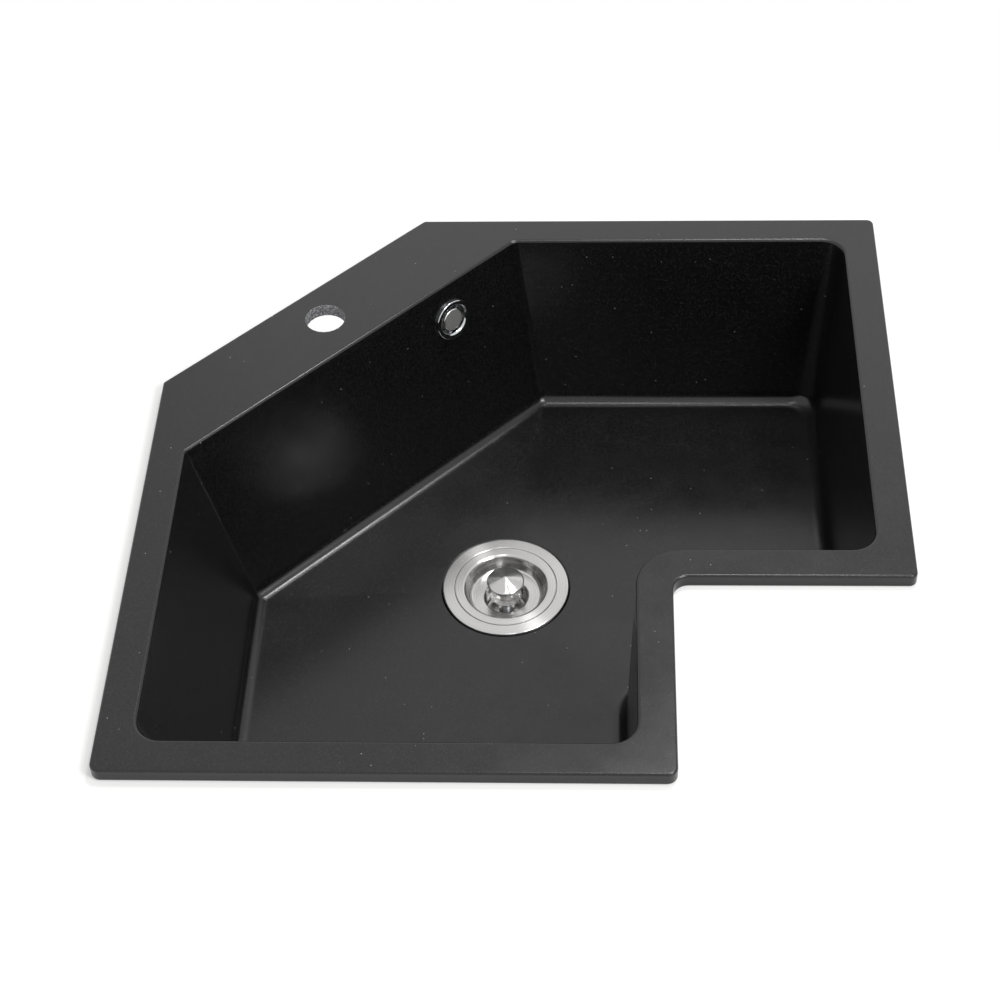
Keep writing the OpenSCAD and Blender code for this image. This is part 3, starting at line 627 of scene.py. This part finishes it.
cutters = []
for k in range(SLOTS):
    slot = bmesh.new()
    bmesh.ops.create_cube(slot, size=1)
    bmesh.ops.scale(slot, vec=SLOT_SIZE, verts=slot.verts[:])
    ends = [e for e in slot.edges if abs(e.verts[0].co.x - e.verts[1].co.x) > 1]
    round_off(slot, ends, SLOT_ROUND, 5)
    cutters.append(place(place(slot, SLOT_AT), WASTE, turned_by(k + 0.5, SLOTS)))
for k in range(HOLES):
    hole = bmesh.new()
    bmesh.ops.create_cone(hole, cap_ends=True, segments=28, radius1=DRAIN_R, radius2=DRAIN_R,
                          depth=DRAIN_LONG)
    cutters.append(place(place(hole, DRAIN_AT), WASTE, turned_by(k, HOLES)))
cut_away(basket, join(*cutters), turned_steel)
print("basket after cuts:", len(basket.data.polygons), "faces")

# %% [markdown]
# The knob and its stem
#
# The knob is turned from solid bar: a foot, a waist that fingers can get under, and a head with a
# low cone on top. It stands on the stem that carries the plug, so it rides on the plug's body and
# rises with it. The waist is one arc, and the cone ends in a small round point.

# %% Knob and stem
foot = [(0, -11), (13.6, -11), (14, -10.6)]
waist = arc((22.09, -1.3), 11.59, 225.7, 134.3, 20)
head = [(16.2, 7.0), (16.5, 7.4), (16.5, 8.0), (16.25, 8.4), (15.7, 8.8)]
cone = [(15.1, 9.05), (12, 9.98), (9, 10.88), (6, 11.78), (3, 12.68), (1.6, 13.08), (0.8, 13.25),
        (0, 13.3)]
knob = place(lathe(foot + waist + head + cone, 128), WASTE)
make_piece("knob", knob, "plug", ["plug_knob"], "turned_steel", turned_steel)

rod = [(0, -61.8), (2.6, -61.8), (3, -61.4), (3, -48.3), (4, -48.3), (4, -29.6), (4, -2.4),
       (3.7, -2.05), (0, -2.05)]
stem = place(lathe(rod, 64), WASTE)
make_piece("stem", stem, "plug", ["plug_stem"], "screw_steel", zinc_screw)

# %% [markdown]
# The overflow's trim
#
# A chromed ring covers the edge of the hole in the wall. Three thin bars behind it carry a boss,
# and the satin disc in the middle snaps over the boss, so the water runs in through the gap
# between disc and ring. Ring, bars and boss are one moulding. The disc's face is satin and its
# rounded edge is polished, which shows as a white arc in the photograph. The edge is also
# coloured paler than the face, and that paler colour is partly a painted highlight.

# %% Overflow ring and disc
BARS, BAR_SIZE, BAR_AT, BAR_ROUND = 3, (9.4, 2.5, 2.5), (9.4, 0, -5.75), 0.3
DISC_R, DISC_ROUND = 10.8, 1.2

trim = lathe([(14.6, -7), (14.6, 0), (19, 0)] + arc((18.0, 1.6), 1.0, 0, 90, 6)
             + [(16.2, 2.6)] + arc((16.2, 0.0), 2.6, 90, 180, 10)[1:] + [(13.6, -7)], 128)
boss = lathe([(2.6, -7), (5.5, -7), (5.5, -1), (4.1, -1), (4.1, -4.6), (2.6, -4.6)], 64, 0.2)
bars = []
for k in range(BARS):
    bar = bmesh.new()
    bmesh.ops.create_cube(bar, size=1)
    bmesh.ops.scale(bar, vec=BAR_SIZE, verts=bar.verts[:])
    round_off(bar, bar.edges[:], BAR_ROUND, 2)
    bars.append(place(place(bar, BAR_AT), None, turned_by(k, BARS)))
trim = place(join(trim, boss, *bars), OVER_AT, over_turn)
make_piece("overflow_trim", trim, "sink", ["overflow_ring"], "trim_chrome", chrome)

flat_to = DISC_R - DISC_ROUND
disc = lathe([(0, -2), (3.8, -2), (3.8, -1), (10.4, -1), (DISC_R, -0.6), (DISC_R, 0.4)]
             + arc((flat_to, 0.4), DISC_ROUND, 0, 90, 6)[1:] + [(6, 1.6), (0, 1.6)], 96)
# The rounded edge's faces take the polished finish, whose paler colour is partly a painted
# highlight.
for face in disc.faces:
    middle = face.calc_center_median()
    face.material_index = 1 if middle.z > 0.4 and middle.xy.length > flat_to else 0
disc = place(disc, OVER_AT, over_turn)
make_piece("overflow_disc", disc, "sink", ["overflow_cap"], "cap_steel", satin_cap, polished_edge_with_painted_highlight)

# %% [markdown]
# Moulded plastic below the bowl
#
# The nuts, the elbow and the tee have the right shapes in the CAD model, but its edges are
# perfectly sharp, which moulded plastic never is. Each is a copy of the CAD mesh whose loose
# triangles are merged. Flat areas are dissolved to single faces, and the edges get a round of
# 0.4 mm. The plug's seal, disc and nut are made in the same way.

# %% Soften CAD shapes
CAD_MERGE, FLAT_ANGLE, CREASE = 0.002, 1, 42
OUTLET_TOP, OUTLET_OVER, OUTLET_CORE = -329.5, 23, 22.7


def moulded(name, node, slot, finish, soften=0.4, body="sink", shape=None):
    """A copy of a CAD node with rounded edges."""
    bm = bmesh.new()
    bm.from_mesh(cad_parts[node].data)
    bmesh.ops.scale(bm, vec=(1 / MM, 1 / MM, 1 / MM), verts=bm.verts[:])
    bmesh.ops.remove_doubles(bm, verts=bm.verts[:], dist=CAD_MERGE)
    bmesh.ops.dissolve_limit(bm, angle_limit=radians(FLAT_ANGLE), use_dissolve_boundaries=False,
                             verts=bm.verts[:], edges=bm.edges[:], delimit={"NORMAL"})
    if shape:
        shape(bm)
    crisp = [e for e in bm.edges if len(e.link_faces) == 2
             and e.calc_face_angle(0) > radians(CREASE)]
    round_off(bm, crisp, soften, 2, clamp=True)
    make_piece(name, bm, body, [node], slot, finish)


def thin_outlet(bm):
    """Takes the trap's thread down to its core, so that real turns can be laid on it."""
    for v in bm.verts:
        away = v.co.xy - WASTE.xy
        if v.co.z < OUTLET_TOP and away.length > OUTLET_OVER:
            v.co.xy = WASTE.xy + away * (OUTLET_CORE / away.length)


moulded("large_nut", "lock_nut", "white_plastic", white_plastic)
moulded("union_nut", "coupling_nut", "white_plastic", white_plastic)
moulded("tee", "waste_tee", "white_plastic", white_plastic, shape=thin_outlet)
moulded("elbow", "overflow_elbow", "white_plastic", white_plastic)
moulded("hose_union_nuts", "hose_nuts", "white_plastic", white_plastic)
moulded("plug_disc", "plug_seal", "gasket_rubber", rubber, 0.6, "plug")
moulded("plug_stiffener", "plug_washer", "turned_steel", pressed_steel, 0.2, "plug")
moulded("plug_hex_nut", "plug_nut", "nut_brass", brass, 0.4, "plug")

# %% [markdown]
# Threads
#
# A thread is one ridge that climbs as it turns. Its cross-section is a small face, and spin
# carries it round while its step offset lifts it, which is just how a screw is cut. Two show:
# the thread for the trap at the very bottom and the one for the large nut on the cup.

# %% Threads
def thread(core, crest, low, high, pitch, steps=72):
    """One ridge from the core's radius to the crest's, between two heights."""
    bm = bmesh.new()
    turns = (high - low - pitch) / pitch
    outline = [(core, 0), (core, pitch * 0.8), (crest, pitch * 0.55), (crest, pitch * 0.3)]
    corners = [bm.verts.new((r, 0, low + z)) for r, z in outline]
    section = bm.faces.new(corners)
    bmesh.ops.spin(bm, geom=corners + section.edges[:] + [section], cent=(0, 0, 0),
                   axis=(0, 0, 1), dvec=(0, 0, pitch / steps), angle=2 * pi * turns,
                   steps=round(steps * turns))
    return bm


trap_thread = place(thread(core=22.5, crest=23.85, low=-170.5, high=-153.5, pitch=2.8), WASTE)
make_piece("trap_thread", trap_thread, "sink", [], "white_plastic", white_plastic)
cup_thread = place(thread(core=42.7, crest=43.5, low=-41, high=-12.5, pitch=3), WASTE)
make_piece("cup_thread", cup_thread, "sink", [], "turned_steel", pressed_steel)

# %% [markdown]
# The ribbed hose
#
# The overflow's hose is blown polyethylene with round ribs 4.2 mm apart, held between two union
# nuts. It is first turned as a straight tube, with a wavy skin and a plain bore. Then each point
# is carried from its height on the tube to the same length along the hose's route: plumb down
# from the elbow, one bend of 85 mm radius, and level into the tee.

# %% Hose
HOSE_TOP, HOSE_DOWN, HOSE_BEND, HOSE_LEN = -76.19, 128.81, 85.0, 344.23
DROP = Vector((88.4355, 60.057, 0))
WAY = Vector((-0.31427, 0.949334, 0))
RIBS, PER_RIB, CREST, VALLEY, BORE, BORE_STEPS = 81, 8, 13.0, 11.6, 10.0, 48

skin = []
for k in range(RIBS * PER_RIB + 1):
    wave = max(-1, min(1, 1.5 * cos(2 * pi * k / PER_RIB)))
    radius = (CREST + VALLEY) / 2 + wave * (CREST - VALLEY) / 2
    skin.append((radius, HOSE_LEN * k / (RIBS * PER_RIB)))
bore = [(BORE, HOSE_LEN * k / BORE_STEPS) for k in range(BORE_STEPS, -1, -1)]
hose = lathe(skin + bore, 36)
across = Vector((-WAY.y, WAY.x, 0))
for v in hose.verts:
    along = v.co.z
    bend = max(0, min(pi / 2, (along - HOSE_DOWN) / HOSE_BEND))
    inward = HOSE_BEND * (1 - cos(bend)) + max(0, along - HOSE_DOWN - HOSE_BEND * pi / 2)
    down = min(along, HOSE_DOWN) + HOSE_BEND * sin(bend)
    middle = DROP - WAY * inward + Vector((0, 0, HOSE_TOP - down))
    raised = Vector((WAY.x * cos(bend), WAY.y * cos(bend), -sin(bend)))
    v.co = middle + across * v.co.x + raised * v.co.y
make_piece("ribbed_hose", hose, "sink", ["overflow_hose"], "hose_plastic", hose_plastic, sharp=60)

# %% [markdown]
# CAD pieces that stay
#
# Plain rings, seals and the screw have the right shape already. They keep their CAD meshes and
# only get the finish of the real thing.

# %% Dress the CAD pieces that stay
def dress(finish, *nodes):
    """Gives CAD nodes a finish."""
    for node in nodes:
        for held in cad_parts[node].material_slots:
            held.material = finish


dress(rubber, "flange_gasket", "underside_gasket", "coupling_washer", "overflow_gasket",
      "hose_washers")
dress(card, "friction_washer")
dress(zinc_screw, "overflow_screw", "detent_ring")
print("CAD nodes in view:", [n for n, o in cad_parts.items() if not o.hide_render])

# %% [markdown]
# The stand, the backdrop and the light
#
# The photograph shows the sink cut out on white, seen from above, with nothing below the rim.
# Here it hangs in a thin pale board, as it would in a worktop, which catches its shadow and
# leaves the underside free for other views. The board tapers to nothing at its outer edge, so
# that no line shows there. The world is white to the eye and in reflections, and gives half of
# the soft light, as a white tent does. Four soft boxes give the rest. The one behind makes the
# back of the rim the brightest, the one in front on the right lights the walls that face it, and
# the two above draw the bright lines along the foot of the walls.

# %% Board, world and lamps
PAST_RIM, UNDER_RIM = [-260, -260, -400, -150, -110, -110, -110], [13] * CORNERS
BOARD_TOP, BOARD_FOOT, BOARD_CORNERS = -0.1, -6, [1] * CORNERS
WHITE = (1, 1, 1, 1)


def seen_directly(tree):
    """One where a surface is looked at, also in a mirror or through glass, and zero elsewhere."""
    rays = add(tree, "LightPath")
    seen = rays.outputs["Is Camera Ray"]
    for kind in ("Is Glossy Ray", "Is Transmission Ray"):
        either = add(tree, "Math", {0: seen, 1: rays.outputs[kind]}, operation="MAXIMUM")
        seen = either.outputs["Value"]
    return seen


board = bmesh.new()
lap = [ring(board, UNDER_RIM, BOARD_CORNERS, BOARD_TOP),
       ring(board, PAST_RIM, BOARD_CORNERS, BOARD_TOP),
       ring(board, UNDER_RIM, BOARD_CORNERS, BOARD_FOOT)]
for lower, upper in zip(lap, lap[1:] + lap[:1]):
    bmesh.ops.bridge_loops(board, edges=lower + upper)
bmesh.ops.recalc_face_normals(board, faces=board.faces[:])
bmesh.ops.scale(board, vec=(MM, MM, MM), verts=board.verts[:])
board = to_object(board, "pale_board")
painted, tree, shader = material("pale_board_paint", Base_Color="#dcdcdb", Roughness=0.9,
                                 Specular_IOR_Level=0.1)
shader.inputs["Emission Color"].default_value = WHITE
lift = add(tree, "Math", {0: seen_directly(tree), 1: 0.3}, operation="MULTIPLY")
tree.links.new(lift.outputs["Value"], shader.inputs["Emission Strength"])
board.data.materials.append(painted)

world = bpy.data.worlds.new("white_tent")
scene.world = world
world.use_nodes = True
tree = world.node_tree
backdrop = tree.nodes["Background"]
backdrop.inputs["Color"].default_value = WHITE
strength = add(tree, "MapRange", {"Value": seen_directly(tree), "To Min": 0.5, "To Max": 1.0})
tree.links.new(strength.outputs["Result"], backdrop.inputs["Strength"])


def lamp(name, at, aim, size, power):
    """A soft box, with its place and aim in millimetres, its size in metres and its watts."""
    light = bpy.data.lights.new(name, "AREA")
    light.shape = "RECTANGLE"
    light.size, light.size_y = size
    light.energy = power
    holder = bpy.data.objects.new(name, light)
    scene.collection.objects.link(holder)
    holder.location = Vector(at) * MM
    holder.rotation_euler = (Vector(aim) - Vector(at)).to_track_quat("-Z", "Y").to_euler()


lamp("soft_box_back", (500, 2600, 1900), (250, 0, 0), (2.4, 1.4), 4.5)
lamp("soft_box_front_right", (1350, -1100, 1750), (0, 0, -80), (0.7, 0.7), 26)
lamp("soft_box_overhead", (250, -300, 1950), (150, -150, -100), (0.3, 0.3), 2.5)
lamp("soft_box_right", (560, 450, 1850), (50, -50, -170), (0.3, 0.3), 10)
scene.view_settings.view_transform = "Standard"
